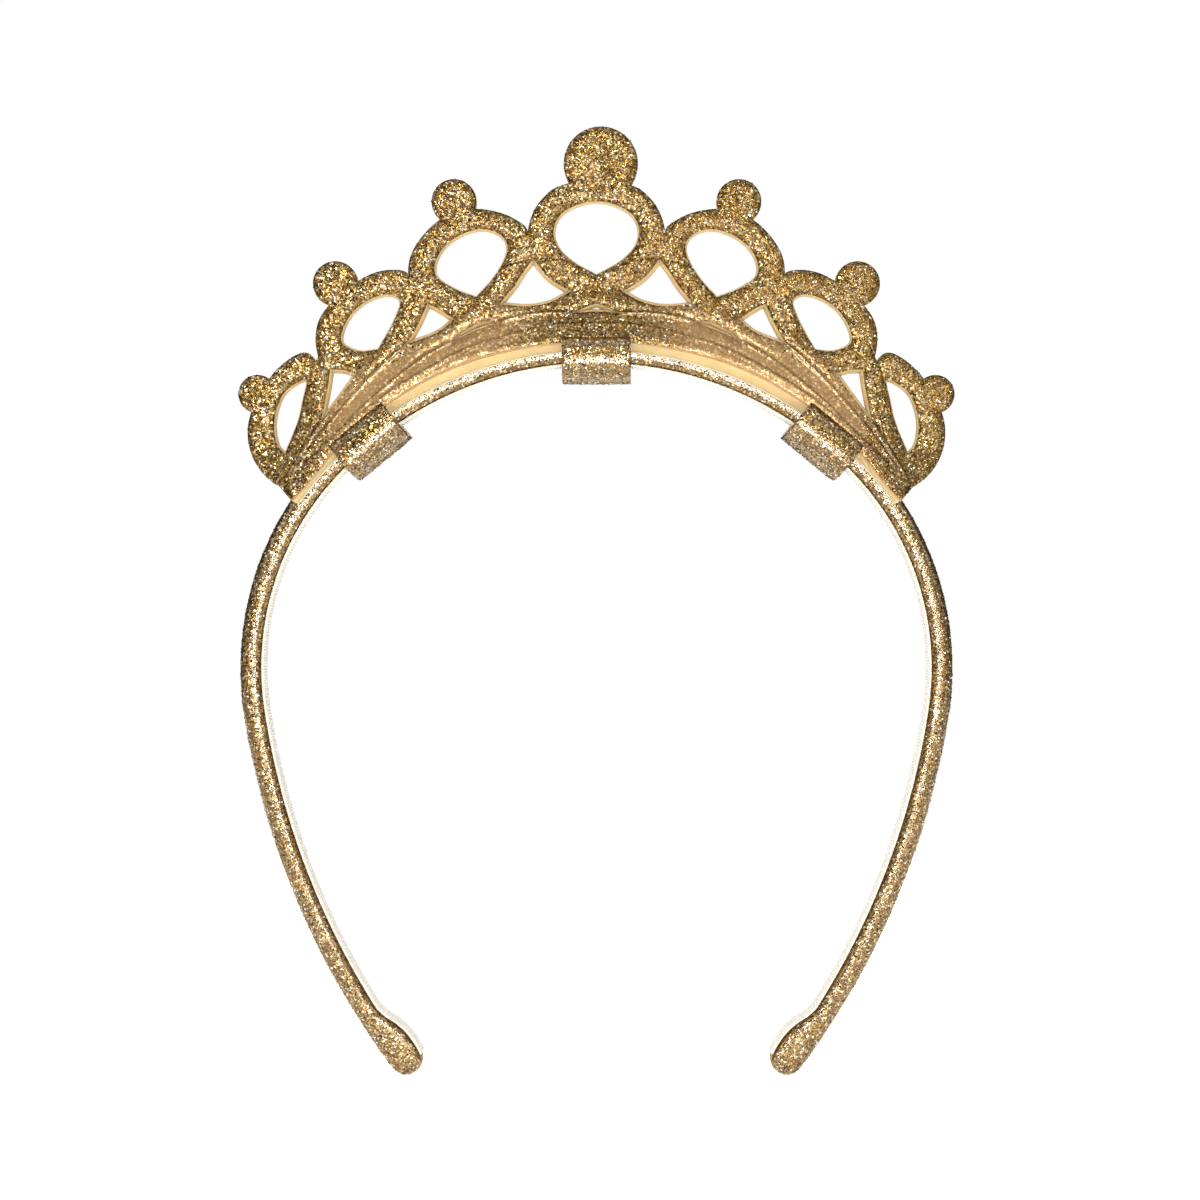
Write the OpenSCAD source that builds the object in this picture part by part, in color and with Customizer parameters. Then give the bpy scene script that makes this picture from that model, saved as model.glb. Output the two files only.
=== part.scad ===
// Glitter crown on a springy headband, seen as worn: X to the side, Z up, and
// Y through the thickness with the crown's face towards -Y. Sizes are in mm.
// The origin is the centre of the band's top arc, near the middle of the head.
// The band is three joined arcs a side. The crown is a soft plate of three
// layers that stands on the band and is carried by three loose loops.

/* [Band] */

// Outer radius of the arc over the top of the head
top_r = 69; // [62:0.5:78]

// Angle from the vertical where the top arc ends
top_end = 48; // [40:1:55]

// Outer radius of the arcs at the temples
side_r = 55.7; // [48:0.1:62]

// Angle from the vertical where the temple arcs end
side_end = 98.5; // [92:0.5:105]

// Outer radius of the long arcs down to the tips
leg_r = 146; // [120:1:180]

// Width of the band, front to back
band_w = 8.5; // [7:0.5:12]

// Thickness of the covered band, without its lining
band_t = 3.8; // [3:0.1:5]

// Thickness of the glitter cover
skin_t = 0.6; // [0.4:0.1:1]

// Width of the springy strip inside the band
strip_w = 6.2; // [5:0.1:7]

// Thickness of the springy strip
strip_t = 1.3; // [1:0.1:1.8]

// Width of the ribbon that lines the inside
ribbon_w = 7; // [6:0.5:8]

// Thickness of the ribbon
ribbon_t = 0.5; // [0.3:0.1:0.8]

// Angle from the vertical where the legs are taken to flex
flex_at = 57; // [55:0.5:62]

/* [Crown] */

// Thickness of the glitter sheet on the face and the loops
sheet_t = 0.8; // [0.5:0.1:1]

// Thickness of the foam inside the crown
foam_t = 2.6; // [2:0.1:4]

// Thickness of the cloth on the back
cloth_t = 0.5; // [0.3:0.1:1]

// Radius of the crown's lower edge
crown_r = 68.9; // [68.5:0.1:70]

// How far the crown's lower edge stands in front of the band's middle
crown_front = 8.3; // [8:0.1:9.5]

// Radius of the large ball on the middle hoop
middle_ball_r = 6.8; // [5:0.1:8]

// Radius of the balls on the next two pairs of hoops
ball_r = 4.1; // [3:0.1:5]

// Radius of the balls on the end hoops
end_ball_r = 3.5; // [3:0.1:4.5]

/* [Loops] */

// Width of a loop along the band
loop_w = 12.5; // [10:0.5:14]

// Angle of the side loops from the vertical
loop_at = 39.4; // [36:0.2:41]

/* [Hidden] */

// Steps in each span of a smooth outline, and sides of a full circle.
span_steps = 3;
$fn = 48;

// Steps in a full turn of the long sweeps along the band.
sweep_steps = 240;

// Centres of the temple arcs and of the leg arcs, on the right.
side_c = (top_r - side_r) * [sin(top_end), cos(top_end)];
leg_c = side_c + (side_r - leg_r) * [sin(side_end), cos(side_end)];

// The flare at a tip starts here, as an angle about the leg arc's centre.
flare_at = 122.4;

// Half the gap that lets a leg turn clear of the arch, as an angle.
flex_gap = 0.3;

// Each arc's end is this much smaller all round and goes this angle into the
// next arc, so that the arcs join into one piece.
tuck = 0.02;
tuck_angle = 0.05;

// Glue under the strip, and between the cover and its lining.
glue_t = 0.1;

// Rounding of the band's edges: large outside and small beside the lining.
outer_round = 1.8;
inner_round = 0.8;

// Angle about the leg arc's centre, and depth below its outer edge.
tip_outline = [
    [flare_at, -1], [126.4, -1], [126.8, 0.1], [127.3, 0.5], [127.7, 1.3], [127.9, 2.6],
    [127.9, 4], [127.7, 4.9], [127.1, 5.6], [126.2, 5.9], [125.1, 5.9], [124.1, 5.3],
    [123.2, 4.3], [flare_at, band_t]
];
tip_hollow = [
    [flare_at, 0], [126.2, 0], [127, 1.1], [127.4, 2], [127.6, 3.2], [127.4, 4.4],
    [126.8, 5], [126, 5.3], [125.2, 5.3], [124.3, 4.7], [123.3, 3.7], [flare_at, band_t - skin_t]
];
tip_lining = [
    [flare_at, band_t + glue_t], [123.2, 4.4], [124.1, 5.4], [125.1, 6], [126.2, 6], [127.1, 5.7],
    [127.3, 6.2], [126.2, 6.5], [125, 6.5], [123.9, 5.9], [123, 4.9],
    [flare_at, band_t + glue_t + ribbon_t]
];

// The strip ends this far into the tip.
strip_end = 125.6;

// The crown's side view: radius, and distance in front of the band's middle.
lower_lean = 30;
middle_lean = 14;
upper_lean = 3;
lower_h = 5.2;
middle_h = 4.5;
upper_h = 36;
face_line = [
    [crown_r, crown_front],
    [crown_r + lower_h, crown_front - lower_h * tan(lower_lean)],
    [crown_r + lower_h + middle_h,
     crown_front - lower_h * tan(lower_lean) - middle_h * tan(middle_lean)],
    [crown_r + lower_h + middle_h + upper_h,
     crown_front - lower_h * tan(lower_lean) - middle_h * tan(middle_lean) - upper_h * tan(upper_lean)]
];
leans = [lower_lean, (lower_lean + middle_lean) / 2, (middle_lean + upper_lean) / 2, upper_lean];

// A loop's side view, once round the band from the crown's face to its back.
loop_line = [
    [71.6, 6.9], [70.2, 7.9], [68.9, 8.9], [67.4, 9.4], [65.8, 9.2], [64, 8.2], [62.6, 6.4],
    [61.9, 3.8], [61.8, 0], [61.9, -3.2], [62.8, -5.2], [64.6, -6.2], [67, -6.2], [69.4, -5.2],
    [71.2, -3.4], [72, -1.2], [72.2, 1.3]
];

// The hoops from the middle outwards, on the right: hole, then outer edge.
middle_hole = [
    [0, 81.1], [4.2, 83.4], [7, 86.1], [7.9, 89.2], [6.6, 92.2], [3.4, 94.1], [0, 94.7],
    [-3.4, 94.1], [-6.6, 92.2], [-7.9, 89.2], [-7, 86.1], [-4.2, 83.4], [0, 81.1]
];
middle_edge = [
    [12, 84], [12.7, 88], [11.9, 92], [10, 95.1], [6.8, 97.5], [0, 98.8],
    [-6.8, 97.5], [-10, 95.1], [-11.9, 92], [-12.7, 88], [-12, 84]
];
second_hole = [
    [22.1, 77], [26, 78.5], [29.3, 80.7], [29.6, 83.4], [27.8, 86.5], [24.6, 88.7], [20.9, 89.6],
    [17.6, 88.5], [16.3, 86.2], [17.2, 83.2], [19.4, 79.9], [22.1, 77]
];
second_edge = [
    [12, 84], [12.6, 89.2], [14.8, 91.3], [18.4, 92.8], [23, 93.3], [27.2, 92.3],
    [31.1, 89.3], [33.8, 85.5], [34.6, 82], [34.2, 78.5]
];
third_hole = [
    [40.1, 67.4], [43.6, 67.1], [46.7, 68.6], [46.5, 71.4], [44.6, 74.5], [41.6, 76.7], [38.2, 77.6],
    [36, 76.4], [36.9, 73.3], [38.4, 70.3], [40.1, 67.4]
];
third_edge = [
    [33.6, 77], [34.4, 81.2], [37.4, 82.1], [41.2, 81.4], [45, 79.2], [48.6, 76.2],
    [51, 72.8], [51.6, 69], [50.8, 64.6]
];
end_hole = [
    [57.1, 48.2], [58.6, 50], [59.2, 53.4], [58.6, 57], [56.9, 60], [53.3, 61.9], [53.9, 58],
    [54.8, 54], [57.1, 48.2]
];
end_edge = [
    [50.6, 64], [53, 66.8], [56, 66], [59.6, 62.8], [62.4, 58.4], [63.9, 54.2], [63.9, 50.2],
    [62.6, 46.6], [60.2, 43.7], [57.2, 42], [54, 42.4]
];

// The plain part of the crown under the hoops, down past its lower edge.
body_edge = [
    [0, 84], [10, 87], [12.8, 88.4], [20, 87], [31, 84], [34.2, 79.6], [38, 77], [48, 72],
    [51.4, 65.6], [55, 56], [59.6, 48], [59, 43.4], [55.6, 39.6], [0, 60]
];

// The cut-outs between the hoops, each by its curved sides from corner to corner.
gap_sides = [
    [[[11.6, 84.1], [9.2, 81.1], [7, 79.4], [4.6, 78.1]],
     [[4.6, 78.1], [8.4, 76.1], [12.6, 75.3], [17.9, 75.7]],
     [[17.9, 75.7], [15.2, 79], [13.4, 81.8], [11.6, 84.1]]],
    [[[31, 75.9], [29, 74.9], [26.1, 73]],
     [[26.1, 73], [29.2, 70.5], [34.9, 68.3]],
     [[34.9, 68.3], [32.9, 71.8], [31, 75.9]]],
    [[[44, 63], [46.4, 63.7], [48.9, 63.8]],
     [[48.9, 63.8], [49.6, 59], [50.6, 53.9]],
     [[50.6, 53.9], [46.8, 59], [44, 63]]],
    [[[18.1, 72.3], [20.4, 72.6], [22, 72.1]],
     [[22, 72.1], [24.4, 70.7], [26.8, 68.7]],
     [[26.8, 68.7], [22.4, 70.7], [18.1, 72.3]]]
];
middle_gap = [
    [[0, 75.9], [2, 75.2], [4.4, 74]],
    [[4.4, 74], [0, 74.3], [-4.4, 74]],
    [[-4.4, 74], [-2, 75.2], [0, 75.9]]
];
balls = [[26.2, 94.7, ball_r], [48, 79.6, ball_r], [62.3, 59.3, end_ball_r]];
middle_ball = [0.8, 101.7];

gold = [0.78, 0.64, 0.36];
cream = [0.96, 0.91, 0.78];

// A point of a smooth curve between b and c, a share t of the way along.
function between(a, b, c, d, t) =
    0.5 * (2 * b + (c - a) * t + (2 * a - 5 * b + 4 * c - d) * t * t
        + (3 * b - a - 3 * c + d) * t * t * t);

// A smooth open curve through the points, without its last point.
function curve(p) =
    let (n = len(p))
    [for (i = [0 : n - 2]) for (k = [0 : span_steps - 1])
        between(
            i > 0 ? p[i - 1] : 2 * p[0] - p[1], p[i], p[i + 1],
            i < n - 2 ? p[i + 2] : 2 * p[n - 1] - p[n - 2], k / span_steps)];

// Curved sides joined at their corners.
function joined(sides) = [for (side = sides) each curve(side)];

// Places on the leg arcs, from an angle and a depth below the outer edge.
function on_leg(places) =
    [for (p = places) leg_c + (leg_r - p[1]) * [sin(p[0]), cos(p[0])]];

// The band's section with its outer edge on x = 0 and its front towards +y.
module band_section(inset) {
    half_w = band_w / 2;
    for (side = [-1, 1]) {
        translate([-outer_round, side * (half_w - outer_round)])
            circle(r = outer_round - inset);
        translate([inner_round - band_t, side * (half_w - inner_round)])
            circle(r = inner_round - inset);
    }
    translate([-outer_round, outer_round - half_w])
        square([outer_round - inset, band_w - 2 * outer_round]);
    translate([inset - band_t, inner_round - half_w])
        square([band_t - inset - outer_round, band_w - 2 * inner_round]);
    translate([inner_round - band_t, inset - half_w])
        square([band_t - inner_round - outer_round, band_w - 2 * inset]);
}

// The children swept about the Y axis, between two angles from the vertical.
module swept(from, to) {
    rotate([90, 0, 0]) rotate([0, 0, 90 - to])
        rotate_extrude(angle = to - from, $fn = sweep_steps) children();
}

// A plate with an outline seen from the front, w thick about the middle.
module front_plate(w) {
    rotate([90, 0, 0]) translate([0, 0, -w / 2]) linear_extrude(height = w) children();
}

// One bar of the band's section: the whole band, the space inside its cover,
// the springy strip or the ribbon, smaller all round by an inset.
module bar_section(bar, inset) {
    if (bar == "band") band_section(inset);
    if (bar == "space") band_section(skin_t + inset);
    if (bar == "strip")
        translate([skin_t + glue_t - band_t + inset, inset - strip_w / 2])
            square([strip_t - 2 * inset, strip_w - 2 * inset]);
    if (bar == "ribbon")
        translate([inset - band_t - glue_t - ribbon_t, inset - ribbon_w / 2])
            square([ribbon_t - 2 * inset, ribbon_w - 2 * inset]);
}

// A bar along an arc of radius r about the point c.
module arc_bar(bar, inset, c, r, from, to) {
    translate([c[0], 0, c[1]]) swept(from, to) translate([r, 0]) bar_section(bar, inset);
}

// A bar of the arch between the two flex lines, and past them by an angle.
module arch_bar(bar, past = 0) {
    arc_bar(bar, 0, [0, 0], top_r, -top_end, top_end);
    for (side = [0, 1]) mirror([side, 0, 0])
        arc_bar(bar, tuck, side_c, side_r, top_end - tuck_angle, flex_at - flex_gap + past);
}

// A bar of the right leg from the flex line to an angle about the leg arc.
module leg_bar(bar, to, past = 0) {
    arc_bar(bar, 0, side_c, side_r, flex_at + flex_gap - past, side_end);
    arc_bar(bar, tuck, leg_c, leg_r, side_end - tuck_angle, to + tuck_angle);
}

// The round-edged bar that a tip's outline is cut from.
module tip_bar(inset) {
    depth = 8;
    half_w = band_w / 2;
    translate([leg_c[0], 0, leg_c[1]]) swept(flare_at, 130) translate([leg_r, 0]) {
        for (side = [-1, 1])
            translate([-outer_round, side * (half_w - outer_round)])
                circle(r = outer_round - inset);
        translate([-outer_round, outer_round - half_w])
            square([outer_round - inset, band_w - 2 * outer_round]);
        translate([-depth, inset - half_w]) square([depth - outer_round, band_w - 2 * inset]);
    }
}

// The space inside the cover of the right tip.
module tip_space() {
    intersection() {
        tip_bar(skin_t);
        front_plate(band_w) polygon(on_leg(tip_hollow));
    }
}

// The right leg's springy strip, which runs on into the tip.
module leg_strip() {
    leg_bar("strip", strip_end);
}

// The right leg's padding.
module leg_padding() {
    difference() {
        leg_bar("space", flare_at - tuck_angle);
        leg_bar("strip", strip_end, 1);
    }
}

// The firm pad round the strip's end, inside the flared tip.
module leg_tip_pad() {
    difference() {
        tip_space();
        leg_bar("strip", strip_end);
    }
}

// The right leg's glitter cover, closed round the tip.
module leg_cover() {
    difference() {
        union() {
            leg_bar("band", flare_at);
            intersection() {
                tip_bar(0);
                front_plate(2 * band_w) polygon(on_leg(tip_outline));
            }
        }
        leg_bar("space", flare_at, 1);
        tip_space();
    }
}

// The right leg's lining.
module leg_ribbon() {
    leg_bar("ribbon", flare_at);
    front_plate(ribbon_w) polygon(on_leg(tip_lining));
}

// A list of points and its mirror image across the middle, as one outline.
function both_sides(p) =
    concat(p, [for (i = [len(p) - 1 : -1 : 0]) if (p[i][0] != 0) [-p[i][0], p[i][1]]]);

// The crown's outline with its hoops and balls, cut through deep enough for
// every layer.
module crown_block() {
    deep = 30;
    front_plate(deep) polygon(both_sides(body_edge));
    front_plate(deep) polygon(curve(middle_edge));
    front_plate(deep) translate(middle_ball) circle(r = middle_ball_r);
    for (side = [0, 1]) mirror([side, 0, 0]) {
        for (edge = [second_edge, third_edge, end_edge]) front_plate(deep) polygon(curve(edge));
        for (ball = balls) front_plate(deep) translate([ball[0], ball[1]]) circle(r = ball[2]);
    }
}

// The holes inside the hoops and the cut-outs between them.
module crown_holes() {
    deep = 40;
    front_plate(deep) polygon(curve(middle_hole));
    front_plate(deep) polygon(joined(middle_gap));
    for (side = [0, 1]) mirror([side, 0, 0]) {
        for (hole = [second_hole, third_hole, end_hole]) front_plate(deep) polygon(curve(hole));
        for (sides = gap_sides) front_plate(deep) polygon(joined(sides));
    }
}

// The face line moved back through the crown's thickness by a depth.
function line_at(depth) =
    [for (i = [0 : len(face_line) - 1])
        face_line[i] - depth * [sin(leans[i]), cos(leans[i])]];

// Points of a list in the other order.
function reversed(p) = [for (i = [len(p) - 1 : -1 : 0]) p[i]];

// A layer of the crown between two depths behind its face.
module crown_layer(from, to) {
    difference() {
        intersection() {
            swept(-62, 62) polygon(concat(line_at(from), reversed(line_at(to))));
            crown_block();
        }
        crown_holes();
    }
}

// The direction of a line of points at point i.
function heading(p, i) =
    let (a = p[max(i - 1, 0)], b = p[min(i + 1, len(p) - 1)])
    (b - a) / norm(b - a);

// A line of points moved sideways, to the left of its direction.
function moved(p, by) =
    [for (i = [0 : len(p) - 1]) let (h = heading(p, i)) p[i] + by * [-h[1], h[0]]];

// A strip of the sheet once round the band, centred at an angle.
module loop(at) {
    half = loop_w / top_r * 90 / PI;
    swept(at - half, at + half)
        polygon(concat(moved(loop_line, sheet_t / 2), reversed(moved(loop_line, -sheet_t / 2))));
}

module arch_strip() {
    color("gray") arch_bar("strip");
}

module arch_padding() {
    color("white") difference() {
        arch_bar("space");
        arch_bar("strip", 1);
    }
}

module arch_cover() {
    color(gold) difference() {
        arch_bar("band");
        arch_bar("space", 1);
    }
}

module arch_ribbon() {
    color(cream) arch_bar("ribbon");
}

module crown_face() {
    color(gold) {
        crown_layer(0, sheet_t);
        for (at = [-loop_at, 0, loop_at]) loop(at);
    }
}

module crown_foam() {
    color(cream) crown_layer(sheet_t, sheet_t + foam_t);
}

module crown_backing() {
    color("tan") crown_layer(sheet_t + foam_t, sheet_t + foam_t + cloth_t);
}

arch_strip();
arch_padding();
arch_cover();
arch_ribbon();
color("gray") mirror([1, 0, 0]) leg_strip();  // left_strip
color("white") mirror([1, 0, 0]) leg_padding();  // left_padding
color(gold) mirror([1, 0, 0]) leg_cover();  // left_cover
color(cream) mirror([1, 0, 0]) leg_ribbon();  // left_ribbon
color("white") mirror([1, 0, 0]) leg_tip_pad();  // left_tip_pad
color("gray") leg_strip();  // right_strip
color("white") leg_padding();  // right_padding
color(gold) leg_cover();  // right_cover
color(cream) leg_ribbon();  // right_ribbon
color("white") leg_tip_pad();  // right_tip_pad
crown_face();
crown_foam();
crown_backing();
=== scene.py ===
"""Glitter crown on a springy headband: the looks of the part, on its CAD frame.

X is to the side, Z is up and the crown's face is towards -Y. The classes hold
their sizes in millimetres; a mesh is turned into metres as it is made. Angles
are from the vertical, in degrees, about the band's top arc unless said.
"""

import logging
import math
from dataclasses import dataclass, field
from enum import Enum

import bpy
import numpy as np
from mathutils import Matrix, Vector, kdtree, noise
from mathutils.geometry import delaunay_2d_cdt


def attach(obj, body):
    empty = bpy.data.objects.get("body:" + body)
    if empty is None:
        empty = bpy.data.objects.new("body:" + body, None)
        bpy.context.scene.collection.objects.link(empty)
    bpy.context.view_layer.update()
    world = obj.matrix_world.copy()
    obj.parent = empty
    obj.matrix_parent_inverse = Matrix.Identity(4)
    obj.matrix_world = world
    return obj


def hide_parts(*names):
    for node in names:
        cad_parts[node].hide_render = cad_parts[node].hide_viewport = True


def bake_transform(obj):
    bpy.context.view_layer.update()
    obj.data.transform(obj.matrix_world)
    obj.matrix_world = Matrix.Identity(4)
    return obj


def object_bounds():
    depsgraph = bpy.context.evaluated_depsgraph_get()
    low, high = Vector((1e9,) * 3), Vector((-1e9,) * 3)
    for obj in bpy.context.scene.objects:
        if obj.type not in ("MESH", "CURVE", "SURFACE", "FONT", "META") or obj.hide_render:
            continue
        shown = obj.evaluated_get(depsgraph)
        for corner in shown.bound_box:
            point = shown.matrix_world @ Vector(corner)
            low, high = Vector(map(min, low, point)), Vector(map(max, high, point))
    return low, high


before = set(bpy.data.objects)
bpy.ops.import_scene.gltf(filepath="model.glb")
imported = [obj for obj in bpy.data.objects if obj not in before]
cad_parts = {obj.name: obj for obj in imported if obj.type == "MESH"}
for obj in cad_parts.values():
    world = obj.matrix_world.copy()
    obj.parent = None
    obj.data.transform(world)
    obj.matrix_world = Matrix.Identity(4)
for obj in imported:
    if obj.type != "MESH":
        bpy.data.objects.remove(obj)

CAD_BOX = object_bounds()
MM = 0.001
# Radius below which the crown glitter gets painted light: a lighter, pinker tone where the leaning lower
# crown catches the light from above.
PAINTED_LIGHT_BELOW = 77.0

log = logging.getLogger("crown")

Colour = tuple[float, float, float]
Place = tuple[float, float]


class Side(Enum):
    """The two sides of the band, by the sign of X."""

    LEFT = -1
    RIGHT = 1

    @property
    def leg(self) -> str:
        """Name of the leg's body on this side."""
        return f"{self.name.lower()}_leg"


# --------------------------------------------------------------------------
# Lines and meshes
# --------------------------------------------------------------------------


def smooth_line(places: list[Place], steps: int) -> np.ndarray:
    """Run a smooth open curve through places.

    Args:
        places: Points of the curve, in order.
        steps: Points made for each span between two places.

    Returns:
        Points of the curve, the last place included, one row each.
    """
    p = np.array(places, float)
    p = np.vstack([2 * p[0] - p[1], p, 2 * p[-1] - p[-2]])
    t = np.linspace(0, 1, steps, endpoint=False)[:, None]
    spans = [
        0.5
        * (
            2 * b
            + (c - a) * t
            + (2 * a - 5 * b + 4 * c - d) * t**2
            + (3 * b - a - 3 * c + d) * t**3
        )
        for a, b, c, d in zip(p, p[1:], p[2:], p[3:])
    ]
    return np.vstack([*spans, p[-2]])


def mirrored(line: np.ndarray) -> np.ndarray:
    """Mirror image of a line of points across the middle."""
    return line * [-1, 1]


def within(places: np.ndarray, ring: np.ndarray) -> np.ndarray:
    """Say which places lie inside a closed outline.

    Args:
        places: Points to test, one row each.
        ring: Corners of the outline, in order.

    Returns:
        True for each place inside.
    """
    x, z = places[:, 0:1], places[:, 1:2]
    x0, z0 = ring.T
    x1, z1 = np.roll(ring, -1, axis=0).T
    level = np.where(z1 == z0, 1e-12, z1 - z0)
    crossed = ((z0 > z) != (z1 > z)) & (x < x0 + (z - z0) * (x1 - x0) / level)
    return crossed.sum(axis=1) % 2 == 1


def nearest(places: np.ndarray, marks: np.ndarray) -> np.ndarray:
    """Distance from each place to the nearest mark.

    Args:
        places: Points to measure from, one row each.
        marks: Points to measure to, one row each.

    Returns:
        One distance for each place.
    """
    tree = kdtree.KDTree(len(marks))
    for i, mark in enumerate(marks):
        tree.insert((mark[0], mark[1], 0), i)
    tree.balance()
    return np.array([tree.find((p[0], p[1], 0))[2] for p in places])


class Draft:
    """Gathers the corners and faces of one piece, then makes its object."""

    def __init__(self) -> None:
        """Start with no corners and no faces."""
        self.corners: list[np.ndarray] = []
        self.faces: list[tuple[int, ...]] = []
        self.coats: list[int] = []
        self.count = 0

    def add(self, corners: np.ndarray, faces: list[tuple[int, ...]], coat: int = 0) -> int:
        """Add corners with the faces between them.

        Args:
            corners: New corners in millimetres, one row each.
            faces: Faces, numbered from the first new corner.
            coat: Which of the piece's finishes they take.

        Returns:
            The number of the first new corner.
        """
        start = self.count
        self.corners.append(np.asarray(corners, float))
        self.count += len(corners)
        self.faces += [tuple(start + i for i in face) for face in faces]
        self.coats += [coat] * len(faces)
        return start

    def bridge(self, faces: list[tuple[int, ...]], coat: int) -> None:
        """Add faces between corners that are there already."""
        self.faces += faces
        self.coats += [coat] * len(faces)

    def make(self, name: str, finishes: list[bpy.types.Material]) -> bpy.types.Object:
        """Make the object, smooth shaded, with its sides facing out.

        Args:
            name: Name of the new object.
            finishes: Materials, in the order of the coats.

        Returns:
            The new object, in the scene.
        """
        mesh = bpy.data.meshes.new(name)
        mesh.from_pydata((np.vstack(self.corners) * MM).tolist(), [], self.faces)
        for finish in finishes:
            mesh.materials.append(finish)
        mesh.polygons.foreach_set("material_index", self.coats)
        mesh.shade_smooth()
        mesh.update()
        obj = bpy.data.objects.new(name, mesh)
        bpy.context.scene.collection.objects.link(obj)
        return obj


# --------------------------------------------------------------------------
# Finishes
# --------------------------------------------------------------------------


class Nodes:
    """A material's node tree, with short ways to add and join nodes."""

    def __init__(self, name: str) -> None:
        """Make an empty material with its shader and output."""
        self.material = bpy.data.materials.new(name)
        self.material.use_nodes = True
        self.tree = self.material.node_tree
        self.shader = self.tree.nodes["Principled BSDF"]

    def add(self, kind: str, inputs: dict | None = None, **settings: object) -> bpy.types.Node:
        """Add a node.

        Args:
            kind: Type of the node, without its ShaderNode prefix.
            inputs: Values or sockets for its inputs, by name or number.
            **settings: The node's own properties.

        Returns:
            The new node.
        """
        node = self.tree.nodes.new(f"ShaderNode{kind}")
        for key, value in settings.items():
            setattr(node, key, value)
        for key, value in (inputs or {}).items():
            self.feed(node.inputs[key], value)
        return node

    def feed(self, socket: bpy.types.NodeSocket, value: object) -> None:
        """Give a socket a value, or join another node's socket to it."""
        if isinstance(value, bpy.types.NodeSocket):
            self.tree.links.new(value, socket)
        elif isinstance(value, tuple) and socket.type == "RGBA":
            socket.default_value = (*value, 1)
        else:
            socket.default_value = value

    def sum(self, kind: str, a: object, b: object) -> bpy.types.NodeSocket:
        """Result of a Math node of the given kind on a and b."""
        return self.add("Math", {0: a, 1: b}, operation=kind).outputs[0]

    def mix(self, share: object, a: object, b: object, kind: str = "MIX") -> bpy.types.NodeSocket:
        """Colour that goes from a to b by a share."""
        node = self.add("Mix", data_type="RGBA", blend_type=kind)
        for socket, value in zip((node.inputs[0], node.inputs[6], node.inputs[7]), (share, a, b)):
            self.feed(socket, value)
        return node.outputs[2]

    def steps(self, value: object, stops: list[tuple[float, Colour]]) -> bpy.types.NodeSocket:
        """Colour looked up from a value.

        Args:
            value: Socket with the value, from 0 to 1.
            stops: Places and their colours, in order; each colour holds up to
                the next stop.

        Returns:
            The colour socket.
        """
        node = self.add("ValToRGB", {0: value})
        node.color_ramp.interpolation = "CONSTANT"
        stop = node.color_ramp.elements
        while len(stop) < len(stops):
            stop.new(0.5)
        for i, (place, colour) in enumerate(stops):
            stop[i].position = place
            stop[i].color = (*colour, 1)
        return node.outputs[0]

    def span(self, value: object, low: float, high: float) -> bpy.types.NodeSocket:
        """Value brought from the range low to high onto 0 to 1."""
        return self.add("MapRange", {0: value, 1: low, 2: high}).outputs[0]

    def channel(self, colour: object, number: int) -> bpy.types.NodeSocket:
        """One of the three channels of a colour."""
        return self.add("SeparateColor", {0: colour}).outputs[number]

    def vector(self, kind: str, a: object, b: object | None = None) -> bpy.types.Node:
        """Vector Math node of the given kind on a and, if given, b."""
        inputs = {0: a} if b is None else {0: a, 1: b}
        return self.add("VectorMath", inputs, operation=kind)

    def place(self) -> bpy.types.NodeSocket:
        """The point of the surface, in metres in the piece's own space."""
        return self.add("TexCoord").outputs["Object"]


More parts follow.
